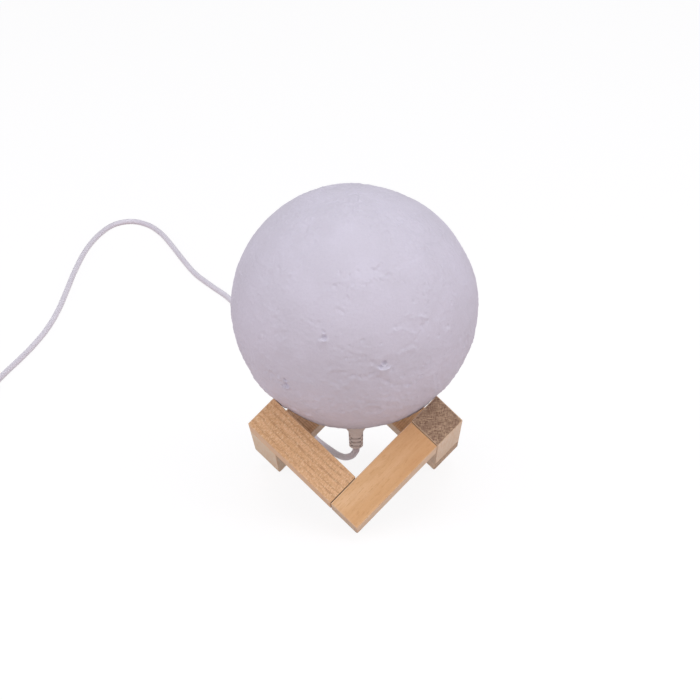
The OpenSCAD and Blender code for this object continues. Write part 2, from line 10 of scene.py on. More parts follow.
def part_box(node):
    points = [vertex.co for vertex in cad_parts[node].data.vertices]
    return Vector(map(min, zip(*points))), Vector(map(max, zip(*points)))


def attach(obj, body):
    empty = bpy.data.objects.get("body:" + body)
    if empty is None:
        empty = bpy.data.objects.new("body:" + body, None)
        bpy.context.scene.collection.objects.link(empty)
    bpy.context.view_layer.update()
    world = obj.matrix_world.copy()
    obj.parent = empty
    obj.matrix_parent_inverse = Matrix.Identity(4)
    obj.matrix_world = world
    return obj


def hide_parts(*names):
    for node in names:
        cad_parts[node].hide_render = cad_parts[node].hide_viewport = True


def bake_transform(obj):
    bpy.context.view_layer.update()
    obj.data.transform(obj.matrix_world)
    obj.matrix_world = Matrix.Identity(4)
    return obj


MM = 0.001

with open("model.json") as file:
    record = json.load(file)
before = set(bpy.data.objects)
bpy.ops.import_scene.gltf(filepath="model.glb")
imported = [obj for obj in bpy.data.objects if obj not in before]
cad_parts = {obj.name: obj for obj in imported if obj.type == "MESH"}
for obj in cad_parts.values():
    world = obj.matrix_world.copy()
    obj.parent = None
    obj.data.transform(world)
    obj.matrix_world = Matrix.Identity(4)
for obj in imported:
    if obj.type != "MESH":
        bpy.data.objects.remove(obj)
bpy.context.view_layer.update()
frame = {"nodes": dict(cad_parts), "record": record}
nodes = frame["nodes"]


# ---------- camera: where the photograph was taken from ----------
PHOTO_WIDTH = 700
FOCAL_PX = 2426.8
CAMERA_AIM = Vector((-2.73, 0, 96.09)) * MM
CAMERA_DISTANCE = 1490.3 * MM
CAMERA_ELEVATION = 23.386
CAMERA_AZIMUTH = 0.409
CAMERA_ROLL = -1.0455


def add_camera():
    data = bpy.data.cameras.new("camera")
    data.sensor_width = 36
    data.lens = FOCAL_PX / PHOTO_WIDTH * data.sensor_width
    camera = bpy.data.objects.new("camera", data)
    bpy.context.scene.collection.objects.link(camera)
    azimuth, elevation = math.radians(CAMERA_AZIMUTH), math.radians(CAMERA_ELEVATION)
    back = Vector((math.sin(azimuth) * math.cos(elevation), -math.cos(azimuth) * math.cos(elevation),
                   math.sin(elevation)))
    look = (-back).to_track_quat("-Z", "Y").to_matrix()
    roll = Matrix.Rotation(math.radians(CAMERA_ROLL), 3, "Z")
    where = Matrix.Translation(CAMERA_AIM + back * CAMERA_DISTANCE)
    camera.matrix_world = where @ (look @ roll).to_4x4()
    bpy.context.scene.camera = camera


# ---------- mesh helpers ----------
def mesh_object(name, verts, faces, material, smooth=True):
    mesh = bpy.data.meshes.new(name)
    mesh.from_pydata([tuple(v) for v in verts], [], faces)
    mesh.update()
    mesh.polygons.foreach_set("use_smooth", [smooth] * len(mesh.polygons))
    obj = bpy.data.objects.new(name, mesh)
    bpy.context.scene.collection.objects.link(obj)
    mesh.materials.append(material)
    return obj


def tube_faces(last, sides):
    """Faces of a tube of rings 0 to last, each of as many vertices as it has sides, and its two ends."""
    faces = [(i * sides + k, i * sides + (k + 1) % sides,
              (i + 1) * sides + (k + 1) % sides, (i + 1) * sides + k)
             for i in range(last) for k in range(sides)]
    return faces + [tuple(reversed(range(sides))), tuple(range(last * sides, (last + 1) * sides))]


def tube(name, path, diameter, sides, material):
    """Round tube along a list of points, with closed ends; a side is carried along without twist."""
    points = [Vector(p) for p in path]
    last = len(points) - 1
    ahead = [(points[min(i + 1, last)] - points[max(i - 1, 0)]).normalized() for i in range(last + 1)]
    side = Vector((1, 0, 0))
    verts = []
    for point, t in zip(points, ahead):
        side = (side - side.dot(t) * t).normalized()
        other = t.cross(side)
        for k in range(sides):
            a = 2 * math.pi * k / sides
            verts.append(point + diameter / 2 * (math.cos(a) * side + math.sin(a) * other))
    return mesh_object(name, verts, tube_faces(last, sides), material)


# ---------- materials ----------
def srgb(r, g, b):
    """A colour as a photograph's 0 to 255 values, in the linear values that shaders take."""
    def linear(c):
        c /= 255
        return c / 12.92 if c <= 0.04045 else ((c + 0.055) / 1.055) ** 2.4
    return (linear(r), linear(g), linear(b), 1)


class Shader:
    """A node material that is written as calls: each returns an output socket."""

    def __init__(self, name):
        self.material = bpy.data.materials.new(name)
        self.material.use_nodes = True
        self.tree = self.material.node_tree
        self.tree.nodes.clear()

    def add(self, kind, inputs=None, **props):
        node = self.tree.nodes.new(kind)
        for key, value in props.items():
            setattr(node, key, value)
        for key, value in (inputs or {}).items():
            if isinstance(value, bpy.types.NodeSocket):
                self.tree.links.new(value, node.inputs[key])
            else:
                node.inputs[key].default_value = value
        return node

    def place(self, rotation=(0, 0, 0), shift=(0, 0, 0)):
        """Object coordinates in millimetres, moved and turned."""
        here = self.add("ShaderNodeTexCoord").outputs["Object"]
        return self.add("ShaderNodeMapping", {"Vector": here, "Scale": (1 / MM, 1 / MM, 1 / MM),
                                              "Rotation": rotation, "Location": shift}).outputs[0]

    def stretch(self, vector, scale):
        return self.add("ShaderNodeVectorMath", {0: vector, 1: scale}, operation="MULTIPLY").outputs[0]

    def noise(self, vector, scale, detail=4, rough=0.55, warp=0):
        return self.add("ShaderNodeTexNoise", {"Vector": vector, "Scale": scale, "Detail": detail,
                                               "Roughness": rough, "Distortion": warp}).outputs[0]

    def math(self, operation, a, b=0.0):
        return self.add("ShaderNodeMath", {0: a, 1: b}, operation=operation).outputs[0]

    def spread(self, value, low, high, to_low=0, to_high=1):
        """The value mapped from low..high to to_low..to_high, smoothly and within its ends."""
        return self.add("ShaderNodeMapRange", {"Value": value, "From Min": low, "From Max": high,
                                               "To Min": to_low, "To Max": to_high},
                        interpolation_type="SMOOTHSTEP").outputs[0]

    def mix(self, share, a, b):
        return self.add("ShaderNodeMix", {0: share, 6: a, 7: b}, data_type="RGBA").outputs[2]

    def bump(self, height, distance):
        return self.add("ShaderNodeBump", {"Height": height, "Distance": distance,
                                           "Strength": 1}).outputs[0]

    def finish(self, **inputs):
        """The material, with a Principled shader whose sockets are named with _ for each space."""
        sockets = {key.replace("_", " "): value for key, value in inputs.items()}
        shader = self.add("ShaderNodeBsdfPrincipled", sockets)
        self.add("ShaderNodeOutputMaterial", {"Surface": shader.outputs[0]})
        return self.material


def moulded(name, colour, darker, rough, grain=1.5, bump=0.012):
    """Moulded plastic or rubber: slight mottling and a fine textured surface."""
    s = Shader(name)
    at = s.place()
    patches = s.noise(at, 0.12, 3)
    fine = s.noise(at, grain, 3)
    shade = s.mix(s.spread(patches, 0.3, 0.7), colour, darker)
    return s.finish(Base_Color=shade, Roughness=s.spread(fine, 0.2, 0.8, rough - 0.06, rough + 0.06),
                    Normal=s.bump(fine, bump * MM))


def metal(name, colour, rough):
    """Plated or drawn metal: fine scratches and faint cloudy patches."""
    s = Shader(name)
    at = s.place()
    scratch = s.noise(s.stretch(at, (0.6, 0.6, 14)), 1.5, 3)
    cloud = s.noise(at, 0.4, 2)
    shade = s.mix(s.spread(cloud, 0.3, 0.7, 0, 0.35), colour, [c * 0.7 for c in colour[:3]] + [1])
    return s.finish(Base_Color=shade, Metallic=1.0, Normal=s.bump(scratch, 0.004 * MM),
                    Roughness=s.spread(scratch, 0.2, 0.8, rough, rough + 0.15))


# A stick's width and length, and the height of the corner cut away where it stands on the table
STICK_W, STICK_L, TIP_CUT = 22, 70, 1
# Millimetres between saw ribs and between growth rings on the ends, and how deep the grain's relief is
RIB_STEP, RING_STEP, GRAIN_DEPTH = 1.5, 2.1, 0.11
# Painted shadow of the gap where a stick's far end butts on the next one: where it starts and is full,
# and its colour
GAP_SHADOW_FROM, GAP_SHADOW_TO, GAP_SHADOW_COLOUR = STICK_L - 0.6, STICK_L - 0.3, srgb(62, 42, 32)


def wood(name, place, across, gap, tones, streak=0.5, flecks=0.4, saw=0.2, ribs=0.0, painted_light_faces="Y",
         thin=-0.2, far_shade=0, gap_shadow=0):
    """Raw beech in a stick's own frame: X along it, `across` the way its growth lines are stacked.

    `gap` is between growth lines; streak, flecks, saw and ribs are the shares of the lines, short dark
    flecks, torn grain and saw ribs. Two more shares darken the far part as painted shade and draw a
    dark line at the far end's joint as painted shadow of the gap. One argument names the faces that
    are made paler as painted light for the table's bounce, and a higher `thin` makes the growth lines
    narrower.
    """
    light, dark, line, end_light, end_dark, side = [srgb(*t) for t in tones]
    s = Shader(name)
    into = place.inverted()
    at = s.place(rotation=into.to_euler(), shift=into.translation)
    along = s.add("ShaderNodeSeparateXYZ", {0: at}).outputs
    figure = s.noise(s.stretch(at, (0.02, 0.11, 0.11)), 1, 3, 0.5, 0.4)
    fibre = s.noise(s.stretch(at, (0.10, 1.5, 1.5)), 1, 4, 0.6)
    short = s.noise(s.stretch(at, (0.24, 1.4, 1.4)), 1, 2)
    tear = s.noise(s.stretch(at, (1.3, 0.62, 0.62)), 1, 4, 0.7)
    mottle = s.noise(at, 0.55, 3, 0.6)

    lines = s.math("ADD", s.math("MULTIPLY", along[1], across[0]),
                   s.math("MULTIPLY", along[2], across[1]))
    lines = s.math("ADD", lines, s.math("MULTIPLY", figure, 6))
    wave = s.math("SINE", s.math("MULTIPLY", lines, 2 * math.pi / gap))
    broken = s.spread(s.noise(s.stretch(at, (0.12, 0.9, 0.9)), 1, 3), 0.38, 0.6, 0.25, 1)
    band = s.math("MULTIPLY", s.spread(wave, thin, 1.0), broken)
    shade = s.mix(s.spread(figure, 0.3, 0.7), light, dark)
    shade = s.mix(s.spread(fibre, 0.42, 0.72, 0, 0.5), shade, dark)
    shade = s.mix(s.spread(mottle, 0.5, 0.75, 0, 0.35), shade, dark)
    shade = s.mix(s.math("MULTIPLY", band, streak), shade, line)
    shade = s.mix(s.spread(short, 0.57, 0.70, 0, flecks), shade, line)
    shade = s.mix(s.spread(tear, 0.5, 0.68, 0, saw), shade, end_light)
    shade = s.mix(s.spread(tear, 0.5, 0.34, 0, 0.6 * saw), shade, line)
    rib = s.math("SINE", s.math("ADD", s.math("MULTIPLY", along[0], 2 * math.pi / RIB_STEP),
                                s.math("MULTIPLY", tear, 4)))
    shade = s.mix(s.spread(rib, -0.2, 1, 0, ribs), shade, line)
    # Painted shade: darker towards the far end, standing in for the shade of the ball over it
    shade = s.mix(s.spread(along[0], 0.3 * STICK_L, STICK_L, 0, far_shade), shade, line)

    normal = s.add("ShaderNodeTexCoord").outputs["Normal"]
    local = s.add("ShaderNodeMapping", {"Vector": normal, "Rotation": into.to_euler()}).outputs[0]
    face = s.add("ShaderNodeSeparateXYZ", {0: local}).outputs
    # Painted light: the chosen faces are mixed toward the paler side tone, standing in for the light that
    # the white table bounces onto them
    for axis in painted_light_faces:
        painted_light_share = s.spread(s.math("ABSOLUTE", face["XYZ".index(axis)]), 0.75, 0.95, 0, 0.8)
        shade = s.mix(painted_light_share, shade, s.mix(s.spread(fibre, 0.35, 0.65, 0, 0.5), side, light))

    # End grain: growth rings crossed by rays and torn by the saw both ways, in patches
    both = (s.math("ADD", along[1], along[2]), s.math("SUBTRACT", along[1], along[2]))
    cuts = []
    for k, (wide, narrow) in enumerate(((0.25, 2.0), (1.7, 0.22))):
        cut = s.add("ShaderNodeCombineXYZ", {0: s.math("MULTIPLY", both[0], wide), 2: 3.0 + k,
                                             1: s.math("MULTIPLY", both[1], narrow)}).outputs[0]
        cuts.append(s.noise(cut, 1, 3, 0.6, 0.3))
    ring = s.math("SINE", s.math("MULTIPLY", lines, 2 * math.pi / RING_STEP))
    blotch = s.noise(at, 0.22, 3)
    speck = s.noise(at, 1.0, 3, 0.6)
    hatch = s.math("ADD", s.math("ADD", cuts[0], cuts[1]), s.math("MULTIPLY", ring, 0.03))
    end = s.mix(s.spread(hatch, 0.85, 1.15), end_dark, end_light)
    end = s.mix(s.spread(blotch, 0.4, 0.62, 0, 0.45), end, end_dark)
    end = s.mix(s.spread(speck, 0.62, 0.76, 0, 0.25), end, side)
    is_end = s.spread(s.math("ABSOLUTE", face[0]), 0.75, 0.95)
    shade = s.mix(is_end, shade, end)

    # Lighter edges, in patches: near one, the point is close to two of the stick's faces at once
    half = STICK_W / 2
    near = [s.math("SUBTRACT", s.math("ABSOLUTE", s.math("SUBTRACT", along[k], middle)), reach)
            for k, middle, reach in ((0, STICK_L / 2, STICK_L / 2), (1, 0, half), (2, 0, half))]
    least = s.math("MINIMUM", near[0], near[1])
    most = s.math("MAXIMUM", near[0], near[1])
    arris = s.math("MAXIMUM", least, s.math("MINIMUM", most, near[2]))
    lighter_edge = s.math("MULTIPLY", s.spread(arris, -0.9, -0.1), s.spread(speck, 0.3, 0.6, 0.2, 0.6))
    lighter_edge = s.math("MULTIPLY", lighter_edge, s.spread(is_end, 0, 1, 1, 0.4))
    shade = s.mix(lighter_edge, shade, side)
    # Painted shadow: a dark line where the stick's far end butts on the next one, for the shade in the
    # gap between them
    shade = s.mix(s.spread(along[0], GAP_SHADOW_FROM, GAP_SHADOW_TO, 0, gap_shadow), shade, GAP_SHADOW_COLOUR)

    height = s.math("ADD", s.math("MULTIPLY", fibre, 0.5), s.math("MULTIPLY", tear, 0.3 + 1.4 * saw))
    height = s.math("ADD", height, s.math("MULTIPLY", rib, 0.6 * ribs))
    height = s.math("ADD", height, s.math("MULTIPLY", s.math("MULTIPLY", hatch, is_end), 1.2))
    return s.finish(Base_Color=shade, Roughness=s.spread(fibre, 0.2, 0.8, 0.55, 0.7),
                    Normal=s.bump(height, GRAIN_DEPTH * MM))


# ---------- the stand's sticks, in the places that the part's source gives them ----------
def turned(degrees, axis):
    return Matrix.Rotation(math.radians(degrees), 4, Vector(axis))


def stick_place(kind, k):
    """Frame of a stick: X runs along it from its free end. The sticks lie on edges of a tilted cube."""
    half = (STICK_L + STICK_W) / 2
    mid = half - STICK_W / 2
    lift = (half + STICK_W) / math.sqrt(3) - TIP_CUT
    tilt = math.degrees(math.acos(1 / math.sqrt(3)))
    on_corner = turned(tilt, (1, 0, 0)) @ turned(45, (0, 0, 1))
    cube = turned(120 * k, (0, 0, 1)) @ Matrix.Translation((0, 0, lift)) @ on_corner
    if kind == "upper":
        return cube @ Matrix.Translation((-mid, half, mid)) @ turned(-90, (0, 0, 1))
    return cube @ Matrix.Translation((mid, -half, -mid)) @ turned(180, (1, 1, 0))


# Tones of the boards: light, dark, growth line, light and dark on the end grain, and a paler side tone:
# painted light on the faces that the table lights, and the colour of end-grain specks and lighter edges
SAWN = [(229, 183, 139), (213, 165, 119), (172, 120, 80),
        (238, 208, 172), (160, 130, 106), (226, 192, 160)]
PLANED = [(231, 188, 143), (219, 170, 120), (200, 144, 92),
          (224, 200, 176), (196, 166, 138), (228, 206, 184)]
POST = [(231, 190, 148), (219, 174, 128), (200, 148, 100),
        (224, 200, 176), (196, 166, 138), (226, 212, 192)]
BROWN = [(222, 184, 146), (204, 164, 126), (162, 120, 86),
         (192, 162, 134), (122, 91, 72), (234, 216, 196)]
DUSKY = [(236, 198, 160), (220, 180, 142), (178, 134, 98),
         (192, 162, 134), (122, 91, 72), (238, 222, 204)]
# Painted light: the ribbed foot stick's tones are lifted to stand in for light that the ball's shade
# keeps from its inner face
RIBBED_LIT = [(248, 208, 162), (240, 194, 146), (204, 156, 112),
          (232, 196, 158), (150, 120, 98), (240, 224, 206)]


def stick_looks():
    return {
        "upper_stick_left": wood("wood_sawn", stick_place("upper", 0), (1, 0.15), 4.0, SAWN,
                                 streak=0.55, flecks=0.35, saw=0.8, thin=0.1, gap_shadow=0.85),
        "upper_stick_right": wood("wood_brown_post", stick_place("upper", 1), (0.8, 0.6), 3.4, BROWN,
                                  streak=0.3, painted_light_faces="YZ"),
        "upper_stick_back": wood("wood_brown_ribbed", stick_place("upper", 2), (0.2, 1), 4.4, DUSKY,
                                 streak=0.4, flecks=0.3, ribs=0.5, painted_light_faces="Z"),
        "foot_stick_front": wood("wood_smooth", stick_place("foot", 2), (0.3, 1), 6.5, PLANED,
                                 streak=0.2, flecks=0.5, saw=0.12, painted_light_faces="Z", far_shade=0.55),
        "foot_stick_left": wood("wood_smooth_post", stick_place("foot", 1), (0.7, 0.7), 4.8, POST,
                                streak=0.25, saw=0.1, painted_light_faces="YZ"),
        "foot_stick_right": wood("wood_orange_ribbed", stick_place("foot", 0), (1, 0.2), 4.6, RIBBED_LIT,
                                 streak=0.4, flecks=0.3, ribs=0.5),
    }


def turned_wood():
    """The dowels inside the joints."""
    s = Shader("wood_dowel")
    grain = s.noise(s.stretch(s.place(), (1.4, 1.4, 0.25)), 1, 4)
    shade = s.mix(s.spread(grain, 0.3, 0.7), srgb(222, 196, 158), srgb(203, 172, 130))
    return s.finish(Base_Color=shade, Roughness=0.65, Normal=s.bump(grain, 0.05 * MM))


# Millimetres from one printed layer to the next, and how deep the print's texture is
LAYER_STEP, PRINT_DEPTH = 0.6, 0.14


def printed(name):
    """Matt printed plastic in fine level layers, with faint clouds and dimples."""
    s = Shader(name)
    at = s.place()
    cloud = s.noise(at, 0.035, 3)
    fine = s.noise(at, 0.9, 4, 0.6)
    up = s.add("ShaderNodeSeparateXYZ", {0: at}).outputs[2]
    layer = s.math("SINE", s.math("ADD", s.math("MULTIPLY", up, 2 * math.pi / LAYER_STEP),
                                  s.math("MULTIPLY", cloud, 3)))
    shade = s.mix(s.spread(cloud, 0.35, 0.65), srgb(213, 208, 223), srgb(208, 203, 217))
    shade = s.mix(s.spread(fine, 0.35, 0.75, 0, 0.25), shade, srgb(196, 190, 206))
    dimples = s.noise(at, 0.42, 3, 0.5)
    height = s.math("ADD", s.math("MULTIPLY", fine, 0.6), s.math("MULTIPLY", layer, 0.08))
    height = s.math("ADD", height, s.math("MULTIPLY", dimples, 1.6))
    return s.finish(Base_Color=shade, Roughness=0.62, Normal=s.bump(height, PRINT_DEPTH * MM))


def board(name, colour, trace):
    """Circuit board: lacquer over copper tracks."""
    s = Shader(name)
    at = s.place()
    cells = s.add("ShaderNodeTexVoronoi", {"Vector": at, "Scale": 0.45}, distance="CHEBYCHEV",
                  feature="DISTANCE_TO_EDGE").outputs[0]
    fine = s.noise(at, 1.2, 3)
    shade = s.mix(s.spread(cells, 0.03, 0.10), colour, trace)
    return s.finish(Base_Color=s.mix(s.spread(fine, 0.4, 0.8, 0, 0.3), shade, colour), Roughness=0.32,
                    Normal=s.bump(s.spread(cells, 0.03, 0.10), 0.03 * MM))


def foam_look():
    s = Shader("foam")
    at = s.place()
    cells = s.add("ShaderNodeTexVoronoi", {"Vector": at, "Scale": 2.2}).outputs[0]
    # Painted shade: the pores are darker where the cells' bump is lowest
    shade = s.mix(s.spread(cells, 0.1, 0.7), srgb(84, 84, 88), srgb(150, 150, 154))
    return s.finish(Base_Color=shade, Roughness=0.95, Normal=s.bump(cells, 0.15 * MM))


def foil_look():
    """Foil pouch of a battery: soft metal sheen with creases."""
    s = Shader("battery_wrap")
    at = s.place()
    crease = s.noise(at, 0.35, 5, 0.6, 0.8)
    shade = s.mix(s.spread(crease, 0.3, 0.7), srgb(196, 202, 212), srgb(172, 178, 190))
    return s.finish(Base_Color=shade, Metallic=0.7, Roughness=s.spread(crease, 0.2, 0.8, 0.28, 0.45),
                    Normal=s.bump(crease, 0.12 * MM))


# Millimetres from one thread of the strap's weave to the next but one
WEAVE_STEP = 0.7


def fabric_look():
    """Woven hook-and-loop strap."""
    s = Shader("strap_fabric")
    at = s.place()
    axes = s.add("ShaderNodeSeparateXYZ", {0: at}).outputs
    warp = s.math("SINE", s.math("MULTIPLY", axes[0], 2 * math.pi / WEAVE_STEP))
    weft = s.math("SINE", s.math("MULTIPLY", s.math("ADD", axes[1], axes[2]), 2 * math.pi / WEAVE_STEP))
    weave = s.math("MULTIPLY", warp, weft)
    fuzz = s.noise(at, 3, 3, 0.7)
    # Painted shade: the weave is darker in its dips between threads and lighter on their crowns
    shade = s.mix(s.spread(weave, -1, 1), srgb(60, 60, 64), srgb(96, 96, 101))
    height = s.math("ADD", s.math("MULTIPLY", weave, 0.5), fuzz)
    return s.finish(Base_Color=s.mix(s.spread(fuzz, 0.5, 0.8, 0, 0.4), shade, srgb(120, 120, 124)),
                    Roughness=0.95, Normal=s.bump(height, 0.2 * MM))


def clear_look(name, colour, rough, clear):
    s = Shader(name)
    fine = s.noise(s.place(), 0.8, 3)
    return s.finish(Base_Color=colour, Roughness=s.spread(fine, 0.2, 0.8, rough, rough + 0.06), IOR=1.49,
                    Transmission_Weight=clear, Normal=s.bump(fine, 0.01 * MM))


def slot_looks():
    """One look for each material slot of the record, apart from the sticks, which have one each."""
    return {
        "moon_print": printed("moon_print"),
        "white_plastic": moulded("white_plastic", srgb(236, 236, 232), srgb(228, 228, 223), 0.42),
        "black_plastic": moulded("black_plastic", srgb(44, 44, 46), srgb(38, 38, 40), 0.38),
        "steel": metal("steel", [0.66, 0.66, 0.67, 1], 0.28),
        "contact_metal": metal("contact_metal", [0.86, 0.68, 0.36, 1], 0.24),
        "board_green": board("board_green", srgb(26, 92, 56), srgb(52, 128, 80)),
        "board_white": board("board_white", srgb(238, 238, 234), srgb(222, 222, 216)),
        "clear_plastic": clear_look("clear_plastic", srgb(240, 246, 248), 0.06, 0.95),
        "frosted_plastic": clear_look("frosted_plastic", srgb(244, 244, 240), 0.45, 0.5),
        "battery_wrap": foil_look(),
        "foam": foam_look(),
        "led_yellow": moulded("led_yellow", srgb(246, 226, 120), srgb(238, 210, 92), 0.3, grain=4),
        "wire_red": moulded("wire_red", srgb(178, 40, 34), srgb(160, 32, 28), 0.35),
        "cord_vinyl": moulded("cord_vinyl", srgb(226, 221, 232), srgb(223, 217, 229), 0.42,
                              grain=0.5, bump=0.003),
        "plated_metal": metal("plated_metal", [0.77, 0.77, 0.78, 1], 0.16),
        "wood_dowel": turned_wood(),
        "strap_fabric": fabric_look(),
    }


def own_looks():
    """The sticks have a look each, and the moulded plug gets a paler colour than the cord: painted light
    that stands in for light reaching it under the ball.
    """
    # Painted light: the plug's paler colour stands in for light that reaches it under the ball
    plug_lit_vinyl = moulded("plug_vinyl_painted_light", srgb(248, 240, 238), srgb(243, 234, 231), 0.48)
    return {**stick_looks(), "plug_body": plug_lit_vinyl, "plug_relief": plug_lit_vinyl}


def dress(looks, own):
    """Each carried-over node gets its own look or that of its slot."""
    for part in frame["record"]["subparts"]:
        data = nodes[part["node"]].data
        data.materials.clear()
        data.materials.append(own.get(part["node"]) or looks[part["material_slot"]])


# ---------- stage and light ----------
FLOOR_HALF = 6
# Glow of the floor as the camera sees it, and how bright the surroundings are to the object
FLOOR_GLOW, WORLD_LEVEL = 0.882, 0.35
# Name, place, aim, size, power and colour of each lamp
LAMPS = [
    ("lamp_top", (0.15, -0.3, 1.9), (0, 0, 0.1), 1.6, 15, (1, 1, 1)),
    ("lamp_front", (0.1, -1.9, 0.6), (0, 0, 0.08), 1.0, 5.5, (1, 1, 1)),
    ("lamp_left", (-1.9, -0.7, 0.8), (0, 0, 0.1), 1.4, 10.9, (0.97, 0.96, 1.07)),
    ("lamp_right", (1.9, -0.7, 0.8), (0, 0, 0.1), 1.4, 10.4, (0.97, 0.96, 1.07)),
]


def add_stage():
    """Pale floor that the camera sees as white, apart from the object's soft shadow."""
    s = Shader("floor_white")
    seen = s.add("ShaderNodeLightPath").outputs
    direct = s.math("MAXIMUM", seen["Is Camera Ray"], s.math("MAXIMUM", seen["Is Glossy Ray"],
                                                            seen["Is Transmission Ray"]))
    body = s.add("ShaderNodeBsdfDiffuse", {"Color": (0.69, 0.58, 0.53, 1)}).outputs[0]
    faint = s.add("ShaderNodeBsdfDiffuse", {"Color": (0.16, 0.155, 0.165, 1)}).outputs[0]
    glow = s.add("ShaderNodeEmission", {"Color": (1, 1, 1, 1), "Strength": FLOOR_GLOW}).outputs[0]
    shown = s.add("ShaderNodeAddShader", {0: faint, 1: glow}).outputs[0]
    both = s.add("ShaderNodeMixShader", {0: direct, 1: body, 2: shown}).outputs[0]
    s.add("ShaderNodeOutputMaterial", {"Surface": both})
    corners = [(x * FLOOR_HALF, y * FLOOR_HALF, 0) for x, y in ((-1, -1), (1, -1), (1, 1), (-1, 1))]
    floor = mesh_object("floor", corners, [(0, 1, 2, 3)], s.material, smooth=False)


def add_light():
    """Plain white surroundings, dimmer to the object than to the camera, and four soft lamps."""
    world = bpy.data.worlds.new("world")
    bpy.context.scene.world = world
    world.use_nodes = True
    tree = world.node_tree
    tree.nodes.clear()
    path = tree.nodes.new("ShaderNodeLightPath").outputs
    seen = path["Is Camera Ray"]
    for ray in ("Is Glossy Ray", "Is Transmission Ray"):
        widest = tree.nodes.new("ShaderNodeMath")
        widest.operation = "MAXIMUM"
        tree.links.new(seen, widest.inputs[0])
        tree.links.new(path[ray], widest.inputs[1])
        seen = widest.outputs[0]
    level = tree.nodes.new("ShaderNodeMapRange")
    tree.links.new(seen, level.inputs["Value"])
    level.inputs["To Min"].default_value = WORLD_LEVEL
    level.inputs["To Max"].default_value = 1
    sky = tree.nodes.new("ShaderNodeBackground")
    sky.inputs["Color"].default_value = (1, 1, 1, 1)
    tree.links.new(level.outputs[0], sky.inputs["Strength"])
    out = tree.nodes.new("ShaderNodeOutputWorld")
    tree.links.new(sky.outputs[0], out.inputs["Surface"])

    for name, place, aim, size, power, colour in LAMPS:
        data = bpy.data.lights.new(name, "AREA")
        data.size = size
        data.energy = power
        data.color = colour
        lamp = bpy.data.objects.new(name, data)
        bpy.context.scene.collection.objects.link(lamp)
        beam = Vector(aim) - Vector(place)
        lamp.matrix_world = Matrix.Translation(place) @ beam.to_track_quat("-Z", "Y").to_matrix().to_4x4()
    bpy.context.scene.view_settings.view_transform = "Standard"


# ---------- cord ----------
CORD_D, CORD_SIDES = 4.2, 24
# Where the middle of the cord runs, from the plug to the coil
ROUTE = [
    (-0.6, 1.8, 26), (-2.5, 7, 21), (-5, 15, 16), (-8, 25, 11), (-12, 37, 6.8), (-16, 49, 3.8),
    (-21, 60, 2.4), (-27, 72, 2.1), (-36, 98, 2.1), (-46, 135, 2.1), (-57, 180, 2.1), (-68, 225, 2.1),
    (-80, 275, 2.1), (-94, 316, 2.1), (-109, 343, 2.1), (-123, 369, 2.1), (-134, 398, 2.1),
    (-145, 430, 2.1), (-156, 459, 2.1), (-168, 479, 2.1), (-182, 488, 2.1), (-196, 481, 2.1),
    (-206, 458, 2.1), (-213, 425, 2.1), (-217, 382, 2.1), (-219, 342, 2.1), (-221, 304, 2.1),
    (-225, 268, 2.1), (-231, 238, 2.1), (-238, 212, 2.1), (-246, 186, 2.1), (-253, 160, 2.2),
    (-258, 136, 2.5),
]
COIL_TURNS, COIL_R, COIL_STEP = 3.5, 27, 4.9
COIL_X, COIL_Y, COIL_Z = -288, 100, 2.9
# Points to a turn of the coil, and to each stretch of the route
COIL_POINTS, ROUTE_POINTS = 48, 6
# The strap's thickness, bend radius, radius of its rounded free end, and how far that stops from the edge
STRAP_T, STRAP_BEND, STRAP_TIP, STRAP_SHORT = 0.7, 1.6, 2.4, 2.6
# Outline of the strap across: place over the width and through the thickness, each from -1 to 1
STRAP_SECTION = [(-1, -0.6), (-0.94, -1), (-0.5, -1), (0, -1), (0.5, -1), (0.94, -1), (1, -0.6),
                 (1, 0.6), (0.94, 1), (0.5, 1), (0, 1), (-0.5, 1), (-0.94, 1), (-1, 0.6)]
# How far the strap's edges are rounded in, and its share of the room between its layers
STRAP_ROUND, STRAP_FILL = 0.3, 0.96
# Edges that turn by more degrees than this look sharp
STRAP_CREASE, MOON_CREASE = 40, 50
USB_X, USB_Y, USB_Z = -318, 142, 3.9


def smooth_line(points, steps):
    """Catmull-Rom line through points, with a number of steps from each point to the next."""
    p = [Vector(q) for q in points]
    line = []
    for i in range(len(p) - 1):
        a, b, c, d = p[max(i - 1, 0)], p[i], p[i + 1], p[min(i + 2, len(p) - 1)]
        for k in range(steps):
            t = k / steps
            line.append(0.5 * (2 * b + (c - a) * t + (2 * a - 5 * b + 4 * c - d) * t * t
                               + (3 * b - a - 3 * c + d) * t ** 3))
    return line + [p[-1]]


def coil_point(angle):
    """Middle of the coiled cord at an angle in degrees: in on the table, up, and out again on top."""
    whole = COIL_TURNS * 360
    radius = COIL_R - COIL_STEP * min(angle, whole - angle) / 360
    height = COIL_Z + COIL_STEP * min(1, max(0, (angle - whole / 2 + 90) / 180))
    a = math.radians(-angle)
    return Vector((COIL_X + radius * math.cos(a), COIL_Y + radius * math.sin(a), height))


